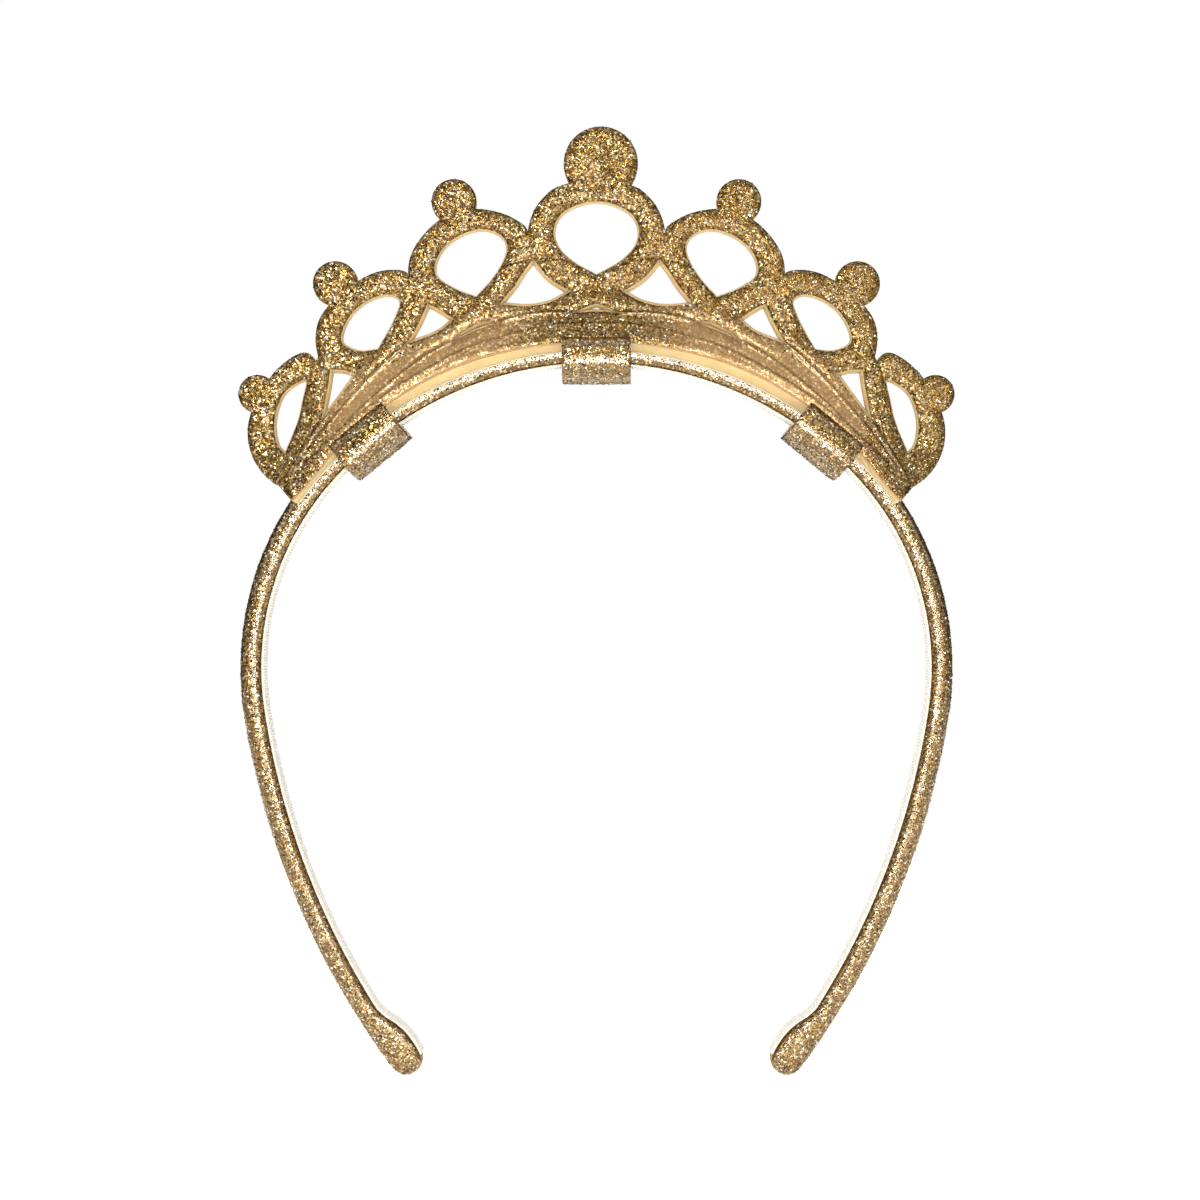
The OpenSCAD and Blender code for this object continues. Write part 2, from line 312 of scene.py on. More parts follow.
@dataclass(frozen=True)
class Glitter:
    """Sheet with glued glitter: small tilted flakes of many tints."""

    name: str
    deep: Colour = (0.046, 0.024, 0.004)
    gold: Colour = (0.175, 0.091, 0.017)
    pale: Colour = (0.375, 0.232, 0.067)
    bright: Colour = (0.98, 0.87, 0.58)
    flake: float = 0.36
    tilt: float = 0.62
    # Below 1, every tint is darkened and warmed: painted shade.
    painted_shade: float = 1.0
    coat: float = 0.08
    # The next four settings paint light low on the crown: a lighter, pinker tone where the leaning lower
    # part catches the light from above.
    painted_light_below: float = 0.0
    smooth: Colour = (0.61, 0.365, 0.17)
    painted_light_centre: Place = (7, 20)
    painted_light_ends: Place = (46, 53)
    edge_tint: Colour = (0.80, 0.60, 0.34)

    def make(self) -> bpy.types.Material:
        """Build the material.

        Returns:
            The material. Below a given radius, if it isn't 0, low on the
            crown, the colour goes towards a lighter, pinker tone, painted light
            where the leaning lower part catches it, and the flakes lie flatter
            and less metallic.
        """
        n = Nodes(self.name)
        place = n.place()
        wobble = n.add("TexNoise", {"Vector": place, "Scale": 900.0, "Detail": 1.0})
        shift = n.vector("MULTIPLY", wobble.outputs["Color"], (0.00028,) * 3)
        bent = n.vector("ADD", place, shift.outputs[0]).outputs[0]
        flakes = n.add("TexVoronoi", {"Vector": bent, "Scale": 1000 / self.flake})
        fine = n.add("TexVoronoi", {"Vector": bent, "Scale": 2100 / self.flake})
        cell, small_cell = flakes.outputs["Color"], fine.outputs["Color"]
        tints = [(0.0, self.deep), (0.30, self.gold), (0.68, self.pale), (0.90, self.bright)]
        coarse_tint = n.steps(n.channel(cell, 0), tints)
        fine_tint = n.steps(n.channel(small_cell, 1), tints)
        patches = n.add("TexNoise", {"Vector": place, "Scale": 330.0, "Detail": 3.0})
        colour = n.mix(0.42, coarse_tint, fine_tint)
        warm = n.mix(n.span(patches.outputs[0], 0.42, 0.66), (0.86, 0.72, 0.5), (1.0, 1.0, 1.0))
        colour = n.mix(0.55, colour, warm, "MULTIPLY")
        # Painted shade: the whole colour darkened and warmed.
        if self.painted_shade < 1:
            painted_shade = (self.painted_shade, self.painted_shade * 0.86, self.painted_shade * 0.66)
            colour = n.mix(1.0, colour, painted_shade, "MULTIPLY")
        tilt: object = self.tilt
        metal: object = 0.95
        # Painted light low on the crown: the colour goes towards the lighter, pinker tone, and the
        # flakes lie flatter and less metallic.
        if self.painted_light_below:
            unpainted = self.unpainted_share(n, place)
            colour = n.mix(unpainted, n.mix(0.42, colour, self.smooth), colour)
            metal = self.blend_up(n, unpainted, 0.55, 0.95)
            tilt = self.blend_up(n, unpainted, self.tilt * 0.45, self.tilt)
        lean = n.vector("SUBTRACT", n.mix(0.35, cell, small_cell), (0.5,) * 3)
        lean = n.vector("SCALE", lean.outputs[0])
        n.feed(lean.inputs["Scale"], tilt)
        bump = {"Strength": 0.25, "Distance": 0.00006, "Height": fine.outputs["Distance"]}
        grain = n.add("Bump", bump).outputs[0]
        facing = n.vector("NORMALIZE", n.vector("ADD", grain, lean.outputs[0]).outputs[0]).outputs[0]
        gloss = n.vector("NORMALIZE", n.mix(0.2, grain, facing)).outputs[0]
        for name, value in {
            "Base Color": colour,
            "Metallic": metal,
            "Roughness": n.span(n.channel(cell, 2), -0.8, 2.6),
            "Normal": facing,
            "Specular Tint": self.edge_tint,
            "Coat Weight": self.coat,
            "Coat Roughness": 0.20,
            "Coat IOR": 1.85,
            "Coat Normal": gloss,
        }.items():
            n.feed(n.shader.inputs[name], value)
        return n.material

    def unpainted_share(self, n: Nodes, place: bpy.types.NodeSocket) -> bpy.types.NodeSocket:
        """Share, from 0 to 1, by which the glitter is left without the painted light.

        Args:
            n: The material's nodes.
            place: The point of the surface.

        Returns:
            A value that is 0 low on the crown, on both sides of its middle.
        """
        axes = n.add("SeparateXYZ", {0: place})
        flat = n.add("CombineXYZ", {0: axes.outputs[0], 2: axes.outputs[2]})
        radius = n.vector("LENGTH", flat.outputs[0]).outputs["Value"]
        upper = n.span(radius, (self.painted_light_below - 2.5) * MM, (self.painted_light_below + 1.5) * MM)
        aside = n.sum("ABSOLUTE", axes.outputs[0], 0.0)
        centre = n.span(aside, self.painted_light_centre[1] * MM, self.painted_light_centre[0] * MM)
        ends = n.span(aside, self.painted_light_ends[0] * MM, self.painted_light_ends[1] * MM)
        return n.sum("MAXIMUM", n.sum("MAXIMUM", upper, centre), ends)

    def blend_up(self, n: Nodes, share: object, low: float, high: float) -> bpy.types.NodeSocket:
        """Value that goes from low to high by a share."""
        value = n.sum("MULTIPLY_ADD", share, high - low)
        value.node.inputs[2].default_value = low
        return value


@dataclass(frozen=True)
class Flake:
    """One tint of the loose, raised glitter flakes."""

    name: str
    colour: Colour
    roughness: float = 0.24

    def make(self) -> bpy.types.Material:
        """Build the material: coated foil, a little uneven from flake to flake."""
        n = Nodes(self.name)
        uneven = n.add("TexNoise", {"Vector": n.place(), "Scale": 700.0}).outputs[0]
        dull = tuple(0.72 * c for c in self.colour)
        n.feed(n.shader.inputs["Base Color"], n.mix(n.span(uneven, 0.3, 0.7), dull, self.colour))
        n.shader.inputs["Metallic"].default_value = 0.9
        n.shader.inputs["Roughness"].default_value = self.roughness
        n.shader.inputs["Coat Weight"].default_value = 0.2
        return n.material


@dataclass(frozen=True)
class Foam:
    """Fine-celled cream foam with a cut surface."""

    name: str
    colour: Colour = (0.66, 0.44, 0.185)
    rim: Colour = (0.76, 0.56, 0.29)
    cell: float = 0.22

    def make(self) -> bpy.types.Material:
        """Build the material: cells as small pits, and light that soaks in."""
        n = Nodes(self.name)
        place = n.place()
        cells = n.add("TexVoronoi", {"Vector": place, "Scale": 1000 / self.cell})
        cloud = n.add("TexNoise", {"Vector": place, "Scale": 260.0, "Detail": 3.0}).outputs[0]
        shadow = tuple(0.86 * c for c in self.colour)
        colour = n.mix(n.span(cloud, 0.35, 0.65), shadow, self.colour)
        pits = n.span(cells.outputs["Distance"], 0.0, 0.7)
        colour = n.mix(n.sum("MULTIPLY", pits, 0.25), colour, self.rim)
        n.feed(n.shader.inputs["Base Color"], colour)
        bump = n.add("Bump", {"Strength": 0.5, "Distance": 0.0001, "Height": pits})
        n.feed(n.shader.inputs["Normal"], bump.outputs[0])
        n.shader.inputs["Roughness"].default_value = 0.85
        n.shader.inputs["Subsurface Weight"].default_value = 0.8
        n.shader.inputs["Subsurface Scale"].default_value = 0.003
        n.shader.inputs["Subsurface Radius"].default_value = (1.0, 0.7, 0.4)
        return n.material


@dataclass(frozen=True)
class Cloth:
    """Woven cloth of crossing threads, in one colour with a little variation."""

    name: str
    colour: Colour
    thread: float = 0.3
    sheen: float = 0.3
    roughness: float = 0.8

    def make(self) -> bpy.types.Material:
        """Build the material: two sets of threads that cross, and fine fuzz."""
        n = Nodes(self.name)
        place = n.place()
        threads = {"Vector": place, "Scale": 160 / self.thread, "Distortion": 0.6, "Detail": 1.0}
        waves = [n.add("TexWave", threads, bands_direction=way) for way in ("X", "Z")]
        weave = n.sum("MAXIMUM", waves[0].outputs["Fac"], waves[1].outputs["Fac"])
        fuzz = n.add("TexNoise", {"Vector": place, "Scale": 2400.0, "Detail": 2.0}).outputs[0]
        cloud = n.add("TexNoise", {"Vector": place, "Scale": 130.0, "Detail": 4.0}).outputs[0]
        dull = tuple(0.8 * c for c in self.colour)
        colour = n.mix(n.span(cloud, 0.3, 0.7), dull, self.colour)
        colour = n.mix(n.sum("MULTIPLY", weave, 0.22), dull, colour)
        n.feed(n.shader.inputs["Base Color"], n.mix(n.span(fuzz, 0.3, 0.7), colour, self.colour))
        bump = n.add("Bump", {"Strength": 0.4, "Distance": 0.00008, "Height": n.sum("ADD", weave, fuzz)})
        n.feed(n.shader.inputs["Normal"], bump.outputs[0])
        n.shader.inputs["Roughness"].default_value = self.roughness
        n.shader.inputs["Sheen Weight"].default_value = self.sheen
        return n.material


@dataclass(frozen=True)
class Moulded:
    """Moulded plastic or rubber with a fine satin grain."""

    name: str
    colour: Colour
    roughness: float = 0.5

    def make(self) -> bpy.types.Material:
        """Build the material: an even colour, slightly cloudy, on a fine grain."""
        n = Nodes(self.name)
        place = n.place()
        cloud = n.add("TexNoise", {"Vector": place, "Scale": 90.0, "Detail": 3.0}).outputs[0]
        grain = n.add("TexNoise", {"Vector": place, "Scale": 3000.0, "Detail": 2.0}).outputs[0]
        dull = tuple(0.88 * c for c in self.colour)
        n.feed(n.shader.inputs["Base Color"], n.mix(cloud, dull, self.colour))
        bump = n.add("Bump", {"Strength": 0.2, "Distance": 0.00003, "Height": grain})
        n.feed(n.shader.inputs["Normal"], bump.outputs[0])
        n.shader.inputs["Roughness"].default_value = self.roughness
        return n.material


@dataclass
class Finishes:
    """Every material of the object, made once."""

    band: bpy.types.Material = field(default_factory=Glitter("Band glitter", tilt=0.42, coat=0.5).make)
    # A darker, warmer copy of the band glitter for the cover's turned-under inner edge by the lining:
    # painted shade.
    shaded_fold: bpy.types.Material = field(
        default_factory=Glitter("Shaded fold glitter", painted_shade=0.8, tilt=0.4).make
    )
    # The crown glitter has painted light low on the crown, lighter and pinker where the leaning part
    # catches the light.
    sheet: bpy.types.Material = field(
        default_factory=Glitter("Crown glitter", tilt=0.72, painted_light_below=PAINTED_LIGHT_BELOW).make
    )
    # Lighter glitter along the pressed lines: a painted highlight where the raised ridge catches the
    # light.
    ridge_highlight: bpy.types.Material = field(
        default_factory=Glitter(
            "Pressed line highlight", gold=(0.36, 0.24, 0.10), pale=(0.60, 0.44, 0.23), tilt=0.4, coat=0.4
        ).make
    )
    cut: bpy.types.Material = field(
        default_factory=Cloth("Cut edge of the sheet", (0.50, 0.28, 0.11), thread=0.2).make
    )
    lining: bpy.types.Material = field(
        default_factory=Cloth("Ribbed ribbon", (0.93, 0.87, 0.73), thread=0.16, sheen=0.2).make
    )
    backing: bpy.types.Material = field(
        default_factory=Cloth("Backing cloth", (0.80, 0.66, 0.43), thread=0.35).make
    )
    padding: bpy.types.Material = field(
        default_factory=Foam("Padding", (0.93, 0.90, 0.83), cell=0.5).make
    )
    foam: bpy.types.Material = field(default_factory=Foam("Crown foam").make)
    strip: bpy.types.Material = field(
        default_factory=Moulded("Springy strip", (0.72, 0.72, 0.70)).make
    )
    pad: bpy.types.Material = field(
        default_factory=Moulded("Tip pad", (0.62, 0.55, 0.45), 0.75).make
    )
    flakes: list[bpy.types.Material] = field(
        default_factory=lambda: [
            Flake("Gold flake", (0.23, 0.13, 0.032)).make(),
            Flake("Pale flake", (0.47, 0.32, 0.12)).make(),
            Flake("White flake", (1.0, 0.94, 0.73), 0.16).make(),
            Flake("Bronze flake", (0.06, 0.033, 0.008)).make(),
        ]
    )


@dataclass(frozen=True)
class Sprinkle:
    """Loose glitter flakes: six-sided scraps of foil, glued down at odd tilts."""

    per_square: float = 3.2
    smallest: float = 0.10
    largest: float = 0.21
    tilt: float = 15.0
    lift: float = 0.05
    shares: tuple[float, ...] = (0.42, 0.30, 0.13, 0.15)
    seed: int = 7

    def scatter(
        self, name: str, base: bpy.types.Object, materials: list[bpy.types.Material]
    ) -> bpy.types.Object:
        """Scatter flakes over the faces of a piece that have its first finish.

        Args:
            name: Name of the new object.
            base: Piece that the flakes lie on.
            materials: The flakes' tints, in the order of the shares.

        Returns:
            The new object.
        """
        rng = np.random.default_rng(self.seed)
        mesh = base.data
        mesh.calc_loop_triangles()
        corners = np.array([v.co for v in mesh.vertices]) / MM
        turned = np.array([v.normal for v in mesh.vertices])
        chosen = np.array([t.vertices for t in mesh.loop_triangles if t.material_index == 0])
        a, b, c = (corners[chosen[:, k]] for k in range(3))
        area = np.linalg.norm(np.cross(b - a, c - a), axis=1) / 2
        count = int(area.sum() * self.per_square)
        face = rng.choice(len(chosen), count, p=area / area.sum())
        share = rng.dirichlet((1, 1, 1), count)[:, :, None]
        middle = (corners[chosen[face]] * share).sum(axis=1)
        normal = (turned[chosen[face]] * share).sum(axis=1)
        normal += rng.normal(0, math.tan(math.radians(self.tilt)), (count, 3))
        normal /= np.linalg.norm(normal, axis=1, keepdims=True)
        along = np.cross(normal, rng.normal(size=(count, 3)))
        along /= np.linalg.norm(along, axis=1, keepdims=True)
        across = np.cross(normal, along)
        size = rng.uniform(self.smallest, self.largest, (count, 1))
        lifted = middle + normal * self.lift
        draft = Draft()
        tints = rng.choice(len(materials), count, p=self.shares)
        turns = np.arange(6) * math.pi / 3
        ring = (
            lifted[:, None]
            + size[:, None] * np.cos(turns)[None, :, None] * along[:, None]
            + size[:, None] * np.sin(turns)[None, :, None] * across[:, None]
        )
        for tint in range(len(materials)):
            some = ring[tints == tint]
            faces = [tuple(range(6 * i, 6 * i + 6)) for i in range(len(some))]
            draft.add(some.reshape(-1, 3), faces, tint)
        return draft.make(name, materials)


# --------------------------------------------------------------------------
# Band
# --------------------------------------------------------------------------


@dataclass(frozen=True)
class BandPath:
    """The band's outer edge seen from the front: three joined arcs a side."""

    top_r: float = 69.0
    top_end: float = 48.0
    side_r: float = 55.7
    side_end: float = 98.5
    leg_r: float = 146.0
    flex_at: float = 57.0

    def centres(self) -> list[np.ndarray]:
        """Centres of the top, temple and leg arcs, on the right."""
        top, side = (
            np.array([math.sin(math.radians(a)), math.cos(math.radians(a))])
            for a in (self.top_end, self.side_end)
        )
        temple = (self.top_r - self.side_r) * top
        return [np.zeros(2), temple, temple + (self.side_r - self.leg_r) * side]

    def turn_at(self, length: float) -> tuple[int, float]:
        """Find the arc and its angle at a length along the edge.

        Args:
            length: Length from the top of the band.

        Returns:
            Number of the arc, and the angle from the vertical.
        """
        temple = self.length_at(self.top_end)
        leg = self.length_at(self.side_end)
        if length < temple:
            return 0, math.degrees(length / self.top_r)
        if length < leg:
            return 1, self.top_end + math.degrees((length - temple) / self.side_r)
        return 2, self.side_end + math.degrees((length - leg) / self.leg_r)

    def length_at(self, angle: float) -> float:
        """Length along the edge from the top to an angle from the vertical."""
        spans = [
            (min(angle, self.top_end), self.top_r),
            (min(angle, self.side_end) - self.top_end, self.side_r),
            (angle - self.side_end, self.leg_r),
        ]
        return sum(math.radians(max(turn, 0)) * r for turn, r in spans)

    def point(self, angle: float, depth: float) -> np.ndarray:
        """Point at an angle from the vertical and a depth under the edge."""
        arc = int(angle > self.top_end) + int(angle > self.side_end)
        r = (self.top_r, self.side_r, self.leg_r)[arc]
        turn = math.radians(angle)
        return self.centres()[arc] + (r - depth) * np.array([math.sin(turn), math.cos(turn)])


@dataclass(frozen=True)
class TipShape:
    """The flared end of a leg: pairs of angle and depth on the leg arc."""

    starts: float = 122.4
    outer: tuple[Place, ...] = (
        (122.4, 0), (123.3, 0), (124.2, 0), (125.2, 0), (126.3, 0), (126.9, 0.12),
        (127.35, 0.5), (127.7, 1.2), (127.88, 2.1), (127.92, 2.9),
    )
    inner: tuple[Place, ...] = (
        (122.4, 3.8), (123.2, 4.3), (124.1, 5.2), (125.1, 5.8), (126.2, 5.9), (127.0, 5.65),
        (127.5, 5.2), (127.78, 4.6), (127.9, 3.9), (127.92, 3.3),
    )
    half_width: tuple[float, ...] = (4.25, 4.25, 4.25, 4.25, 4.22, 4.1, 3.85, 3.3, 2.4, 1.2)
    lining: tuple[Place, ...] = (
        (122.4, 3.9), (123.2, 4.4), (124.1, 5.35), (125.1, 5.95), (126.2, 6.0), (127.1, 5.7),
    )


@dataclass
class Band:
    """The covered band with its lining, made as two halves."""

    finishes: Finishes
    path: BandPath = BandPath()
    tip: TipShape = TipShape()
    width: float = 8.5
    thick: float = 3.8
    outer_round: float = 1.8
    inner_round: float = 1.0
    bulge: float = 0.12
    # Depth from the inner side within which the cover takes the painted-shade glitter.
    shaded_fold: float = 0.32
    step: float = 0.8
    ribbon_width: float = 7.0
    ribbon_thick: float = 0.5
    glue: float = 0.1
    rib: float = 0.56
    rib_height: float = 0.16
    bend: float = 6.0

    def section(self, thick: float, half_width: float) -> np.ndarray:
        """Outline across the band.

        Args:
            thick: Depth of the outline from the outer edge.
            half_width: Half of its width.

        Returns:
            Points as depth and place across, the same number for any size.
        """
        outer = min(self.outer_round, thick * 0.55, half_width * 0.9)
        inner = min(self.inner_round, thick * 0.4, half_width * 0.9)
        arc = np.radians(np.linspace(0, 90, 8))
        top = np.column_stack([outer * (1 - np.cos(arc)), half_width - outer + outer * np.sin(arc)])
        low = np.column_stack(
            [thick - inner + inner * np.sin(arc), half_width - inner + inner * np.cos(arc)]
        )
        flat_top = np.column_stack([np.zeros(4), np.linspace(0, half_width - outer, 5)[:-1]])
        flat_low = np.column_stack([np.full(4, thick), np.linspace(half_width - inner, 0, 5)[1:]])
        half = np.vstack([flat_top, top, low, flat_low])
        swell = self.bulge * np.sin(np.pi * np.clip(half[:, 0] / thick, 0, 1))
        half[:, 1] += swell * half[:, 1] / half_width
        return np.vstack([half, (half * [1, -1])[-2:0:-1]])

    def rings(self) -> list[np.ndarray]:
        """Rings of the cover on the right, from the top to the tip.

        Returns:
            Rings as points in millimetres.
        """
        made = []
        end = self.path.length_at(self.tip.starts)
        section = self.section(self.thick, self.width / 2)
        for length in np.linspace(0, end, round(end / self.step), endpoint=False):
            angle = self.path.turn_at(length)[1]
            made.append(self.ring(section, (angle, 0), (angle, self.thick), self.thick))
        outer, inner = (smooth_line(list(p), 5) for p in (self.tip.outer, self.tip.inner))
        widths = smooth_line([(w, 0.0) for w in self.tip.half_width], 5)[:, 0]
        for a, b, half in zip(outer, inner, widths):
            thick = float(b[1] - a[1])
            made.append(self.ring(self.section(thick, half), tuple(a), tuple(b), thick))
        return made

    def ring(self, section: np.ndarray, outer: Place, inner: Place, thick: float) -> np.ndarray:
        """Stand a section between a point of the outer and of the inner side."""
        a = self.path.point(*outer)
        b = self.path.point(*inner)
        flat = a + (b - a) * (section[:, :1] / thick)
        ring = np.column_stack([flat[:, 0], section[:, 1], flat[:, 1]])
        middle = ring.mean(axis=0)
        for i, p in enumerate(ring):
            sway = 0.07 * noise.noise(Vector(p) / 7.0) + 0.03 * noise.noise(Vector(p) / 2.1)
            ring[i] += (p - middle) / max(np.linalg.norm(p - middle), 0.1) * sway
        return ring

    def cover(self, side: Side) -> bpy.types.Object:
        """Make the glitter cover of one half of the band.

        Args:
            side: Which half.

        Returns:
            The cover, a closed tube with a rounded, flared tip.
        """
        rings = self.rings()
        count = len(rings[0])
        draft = Draft()
        corners = np.vstack(rings) * [side.value, 1, 1]
        draft.add(corners, [])
        plain, shaded_quads = [], []
        depth = self.section(self.thick, self.width / 2)[:, 0]
        for i in range(len(rings) - 1):
            for k in range(count):
                m = (k + 1) % count
                a, b = i * count, (i + 1) * count
                quad = (a + k, b + k, b + m, a + m)
                quad = quad if side is Side.RIGHT else quad[::-1]
                # Faces at the inner corner, where the cover turns under, take the painted-shade glitter.
                deep = min(depth[k], depth[m]) > self.thick - self.shaded_fold
                (shaded_quads if deep else plain).append(quad)
        draft.bridge(plain, 0)
        draft.bridge(shaded_quads, 1)
        for ring, sign in ((0, 1), (len(rings) - 1, -1)):
            middle = draft.add(corners[ring * count : (ring + 1) * count].mean(axis=0)[None], [])
            fan = [(ring * count + k, ring * count + (k + 1) % count, middle) for k in range(count)]
            flip = sign * side.value < 0
            draft.bridge([f[::-1] if flip else f for f in fan], 0)
        name = f"{side.name.lower()}_band_cover"
        obj = draft.make(name, [self.finishes.band, self.finishes.shaded_fold])
        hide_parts("arch_cover", f"{side.name.lower()}_cover")
        return obj

    def lining(self, side: Side) -> bpy.types.Object:
        """Make the ribbed ribbon inside one half of the band.

        Args:
            side: Which half.

        Returns:
            The ribbon, ribbed from front to back, cut straight at the tip.
        """
        start = self.path.length_at(self.tip.starts)
        flare = smooth_line([(self.path.length_at(a), d) for a, d in self.tip.lining], 6)
        end = flare[-1][0]
        count = round(end / self.rib) * 6
        draft = Draft()
        rings = []
        for length in np.linspace(0, end, count + 1):
            angle = self.path.turn_at(length)[1]
            base = self.thick + self.glue
            depth = base if length < start else float(np.interp(length, flare[:, 0], flare[:, 1]))
            rib = abs(math.cos(math.pi * length / self.rib))
            thin = self.ribbon_thick - self.rib_height * (1 - rib)
            half = self.ribbon_width / 2 - 0.07 * (1 - rib)
            across = np.array([-1, -0.985, -0.9, -0.45, 0, 0.45, 0.9, 0.985, 1])
            raised = np.array([0.3, 0.8, 1, 1, 1, 1, 1, 0.8, 0.3])
            low = [(depth + thin * up, half * v) for v, up in zip(across, raised)]
            high = [(depth, half * v) for v in (0.97, 0.0, -0.97)]
            flat = [self.path.point(angle, d) for d, _ in low + high]
            rings.append(
                [(p[0] * side.value, v, p[1]) for p, (_, v) in zip(flat, low + high)]
            )
        size = len(rings[0])
        draft.add(np.array(rings).reshape(-1, 3), [])
        quads = []
        for i in range(len(rings) - 1):
            for k in range(size):
                m = (k + 1) % size
                quad = (i * size + k, (i + 1) * size + k, (i + 1) * size + m, i * size + m)
                quads.append(quad if side is Side.LEFT else quad[::-1])
        draft.bridge(quads, 0)
        first = tuple(range(size))
        last = tuple(len(rings) * size - size + k for k in range(size))
        ends = [first, last[::-1]]
        draft.bridge([e[::-1] if side is Side.LEFT else e for e in ends], 0)
        name = f"{side.name.lower()}_band_lining"
        obj = draft.make(name, [self.finishes.lining])
        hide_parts("arch_ribbon", f"{side.name.lower()}_ribbon")
        return obj

    def hinge(self, obj: bpy.types.Object) -> None:
        """Bake a piece's placement into its mesh."""
        middle = self.path.point(self.path.flex_at, self.thick / 2)
        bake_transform(obj)

    def build(self) -> list[bpy.types.Object]:
        """Make both halves with their flakes, and dress the hidden pieces.

        Returns:
            The new pieces.
        """
        made = []
        for side in Side:
            cover = self.cover(side)
            flakes = Sprinkle(seed=20 + side.value).scatter(
                f"{side.name.lower()}_band_flakes", cover, self.finishes.flakes
            )
            made += [cover, flakes, self.lining(side)]
            for obj in made[-3:]:
                self.hinge(obj)
        inner = {
            "strip": self.finishes.strip,
            "padding": self.finishes.padding,
            "tip_pad": self.finishes.pad,
        }
        for name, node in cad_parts.items():
            for ending, finish in inner.items():
                if name.endswith(ending):
                    node.data.materials.clear()
                    node.data.materials.append(finish)
        return made


# --------------------------------------------------------------------------
# Crown
# --------------------------------------------------------------------------


@dataclass(frozen=True)
class CrownOutline:
    """The crown seen from the front, on the right: hoops, balls and cut-outs."""

    middle_hole: tuple[Place, ...] = (
        (0, 81.1), (4.2, 83.4), (7, 86.1), (7.9, 89.2), (6.6, 92.2), (3.4, 94.1), (0, 94.7),
        (-3.4, 94.1), (-6.6, 92.2), (-7.9, 89.2), (-7, 86.1), (-4.2, 83.4), (0, 81.1),
    )
    middle_edge: tuple[Place, ...] = (
        (12, 84), (12.7, 88), (11.9, 92), (10, 95.1), (6.8, 97.5), (0, 98.8),
        (-6.8, 97.5), (-10, 95.1), (-11.9, 92), (-12.7, 88), (-12, 84),
    )
    holes: tuple[tuple[Place, ...], ...] = (
        (
            (22.1, 77), (26, 78.5), (29.3, 80.7), (29.6, 83.4), (27.8, 86.5), (24.6, 88.7),
            (20.9, 89.6), (17.6, 88.5), (16.3, 86.2), (17.2, 83.2), (19.4, 79.9), (22.1, 77),
        ),
        (
            (40.1, 67.4), (43.6, 67.1), (46.7, 68.6), (46.5, 71.4), (44.6, 74.5), (41.6, 76.7),
            (38.2, 77.6), (36, 76.4), (36.9, 73.3), (38.4, 70.3), (40.1, 67.4),
        ),
        (
            (57.1, 48.2), (58.6, 50), (59.2, 53.4), (58.6, 57), (56.9, 60), (53.3, 61.9),
            (53.9, 58), (54.8, 54), (57.1, 48.2),
        ),
    )
    edges: tuple[tuple[Place, ...], ...] = (
        (
            (12, 84), (12.6, 89.2), (14.8, 91.3), (18.4, 92.8), (23, 93.3), (27.2, 92.3),
            (31.1, 89.3), (33.8, 85.5), (34.6, 82), (34.2, 78.5),
        ),
        (
            (33.6, 77), (34.4, 81.2), (37.4, 82.1), (41.2, 81.4), (45, 79.2), (48.6, 76.2),
            (51, 72.8), (51.6, 69), (50.8, 64.6),
        ),
        (
            (50.6, 64), (53, 66.8), (56, 66), (59.6, 62.8), (62.4, 58.4), (63.9, 54.2),
            (63.9, 50.2), (62.6, 46.6), (60.2, 43.7), (57.2, 42), (54, 42.4),
        ),
    )
    body: tuple[Place, ...] = (
        (0, 84), (10, 87), (12.8, 88.4), (20, 87), (31, 84), (34.2, 79.6), (38, 77), (48, 72),
        (51.4, 65.6), (55, 56), (59.6, 48), (59, 43.4), (55.6, 39.6), (0, 58),
    )
    gaps: tuple[tuple[tuple[Place, ...], ...], ...] = (
        (
            ((11.6, 84.1), (9.2, 81.1), (7, 79.4), (4.6, 78.1)),
            ((4.6, 78.1), (8.4, 76.1), (12.6, 75.3), (17.9, 75.7)),
            ((17.9, 75.7), (15.2, 79), (13.4, 81.8), (11.6, 84.1)),
        ),
        (
            ((31, 75.9), (29, 74.9), (26.1, 73)),
            ((26.1, 73), (29.2, 70.5), (34.9, 68.3)),
            ((34.9, 68.3), (32.9, 71.8), (31, 75.9)),
        ),
        (
            ((44, 63), (46.4, 63.7), (48.9, 63.8)),
            ((48.9, 63.8), (49.6, 59), (50.6, 53.9)),
            ((50.6, 53.9), (46.8, 59), (44, 63)),
        ),
        (
            ((18.1, 72.3), (20.4, 72.6), (22, 72.1)),
            ((22, 72.1), (24.4, 70.7), (26.8, 68.7)),
            ((26.8, 68.7), (22.4, 70.7), (18.1, 72.3)),
        ),
    )
    middle_gap: tuple[tuple[Place, ...], ...] = (
        ((0, 75.9), (2, 75.2), (4.4, 74)),
        ((4.4, 74), (0, 74.3), (-4.4, 74)),
        ((-4.4, 74), (-2, 75.2), (0, 75.9)),
    )
    balls: tuple[tuple[float, float, float], ...] = (
        (26.2, 94.7, 4.1), (48, 79.6, 4.1), (62.3, 59.3, 3.5),
    )
    middle_ball: tuple[float, float, float] = (0.8, 101.7, 6.8)
    creases: tuple[tuple[Place, ...], ...] = (
        ((0, 71.9), (9.2, 71.3), (21.9, 67.9), (30.7, 63.6), (38.2, 58.9), (46, 52.6), (54, 44)),
        ((4.4, 74), (9, 74), (13.5, 73.5), (18.1, 72.3)),
        ((26.8, 68.7), (31.4, 66), (37, 61.7), (43, 56.2), (48.6, 50.6), (54.4, 44.6)),
        ((34.9, 68.3), (38.4, 65.2), (43, 60.6), (47.6, 55.2), (52, 49.4), (55.4, 44.2)),
        ((44, 63), (46.6, 59.4), (50, 54.4), (53.4, 48.6), (56, 43.8)),
        ((50.6, 53.9), (52.6, 50.8), (55, 46.6), (56.6, 43.6)),
    )

